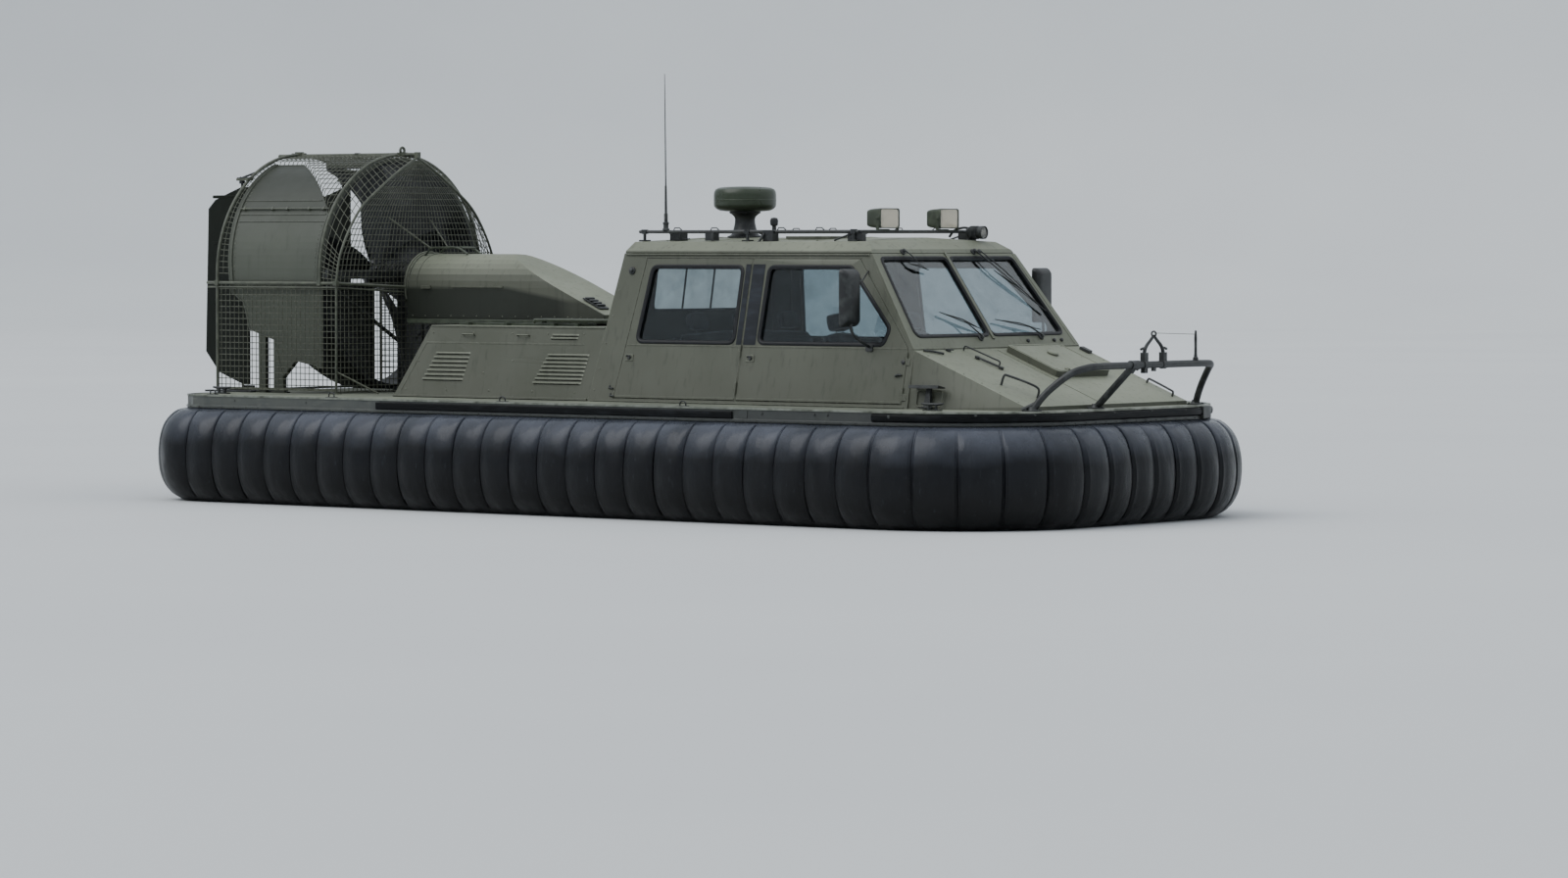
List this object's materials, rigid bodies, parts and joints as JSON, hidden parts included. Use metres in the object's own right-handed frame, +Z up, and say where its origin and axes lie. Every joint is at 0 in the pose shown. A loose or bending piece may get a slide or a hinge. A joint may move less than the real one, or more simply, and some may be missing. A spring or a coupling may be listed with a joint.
{
  "type": "utility hovercraft",
  "caption": "Utility hovercraft with an inflated skirt, closed cabin, wedge nose, ducted air propeller, twin rudders and opening doors and hatch.",
  "frame": {"origin": "on the ground under the middle of the craft's whole length and width", "axes": "+X to the bow, +Y to port, +Z up"},
  "size_m": [11.23, 4.9, 4.15],
  "materials": {
    "light_olive": "matt",
    "olive": "matt",
    "dark_green": "matt",
    "rail_metal": "satin",
    "skirt_rubber": "satin",
    "black_paint": "satin",
    "glass": "gloss",
    "seat_cloth": "matt",
    "black_plastic": "matt",
    "engine_iron": "matt"
  },
  "bodies": {
    "craft": {"hull": "light_olive", "rub_rail": "rail_metal", "skirt": "skirt_rubber", "skid_starboard": "dark_green", "skid_port": "dark_green", "cabin_shell": "olive", "roof": "light_olive", "nose_shell": "light_olive", "windscreen_starboard": "glass", "windscreen_port": "glass", "helm_seat": "seat_cloth", "mate_seat": "seat_cloth", "rear_bench": "seat_cloth", "dashboard": "black_plastic", "helm_wheel": "black_plastic", "engine_housing": "olive", "engine_block": "engine_iron", "cowl_base": "black_paint", "engine_cowl": "olive", "duct": "dark_green", "prop_gearbox": "black_paint", "prop_cage": "dark_green", "stern_frame": "black_paint", "radar_mast": "black_paint", "radar_dome": "olive", "roof_rack": "black_paint", "whip_aerial": "black_plastic", "work_lamp_starboard": "black_paint", "work_lamp_port": "black_paint", "searchlight": "black_paint", "bow_rail": "black_paint"},
    "nose_hatch_body": {"nose_hatch": "light_olive"},
    "propeller_body": {"propeller": "black_paint"},
    "rudder_starboard_body": {"rudder_starboard": "dark_green"},
    "rudder_port_body": {"rudder_port": "dark_green"},
    "front_door_starboard_body": {"front_door_starboard": "olive", "front_glass_starboard": "glass", "mirror_starboard": "black_paint"},
    "rear_door_starboard_body": {"rear_door_starboard": "olive", "rear_glass_starboard": "glass"},
    "front_door_port_body": {"front_door_port": "olive", "front_glass_port": "glass", "mirror_port": "black_paint"},
    "rear_door_port_body": {"rear_door_port": "olive", "rear_glass_port": "glass"}
  },
  "joints": [
    {"name": "propeller_spin", "type": "hinge", "parent": "craft", "child": "propeller_body", "pos_m": [-3.955, 0, 2.235], "axis": [1, 0, 0], "continuous": true},
    {"name": "rudder_starboard_turn", "type": "hinge", "parent": "craft", "child": "rudder_starboard_body", "pos_m": [-5.1, -0.75, 2.1], "axis": [0, 0, 1], "range_deg": [-30, 30]},
    {"name": "rudder_port_turn", "type": "hinge", "parent": "craft", "child": "rudder_port_body", "pos_m": [-5.1, 0.75, 2.1], "axis": [0, 0, 1], "range_deg": [-30, 30]},
    {"name": "front_door_starboard_swing", "type": "hinge", "parent": "craft", "child": "front_door_starboard_body", "pos_m": [3.769, -1.35761, 1.37253], "axis": [0, 0.2111, 0.9775], "range_deg": [0, 70]},
    {"name": "rear_door_starboard_swing", "type": "hinge", "parent": "craft", "child": "rear_door_starboard_body", "pos_m": [1.835, -1.35761, 1.37253], "axis": [0, 0.2111, 0.9775], "range_deg": [0, 70]},
    {"name": "front_door_port_swing", "type": "hinge", "parent": "craft", "child": "front_door_port_body", "pos_m": [3.769, 1.35761, 1.37253], "axis": [0, 0.2111, -0.9775], "range_deg": [0, 70]},
    {"name": "rear_door_port_swing", "type": "hinge", "parent": "craft", "child": "rear_door_port_body", "pos_m": [1.835, 1.35761, 1.37253], "axis": [0, 0.2111, -0.9775], "range_deg": [0, 70]},
    {"name": "nose_hatch_lift", "type": "hinge", "parent": "craft", "child": "nose_hatch_body", "pos_m": [3.88602, 0.435, 1.56829], "axis": [0, -1, 0], "range_deg": [0, 75]}
  ],
  "couplings": [
    {"joint": "rudder_port_turn", "follows": "rudder_starboard_turn", "ratio": 1}
  ]
}
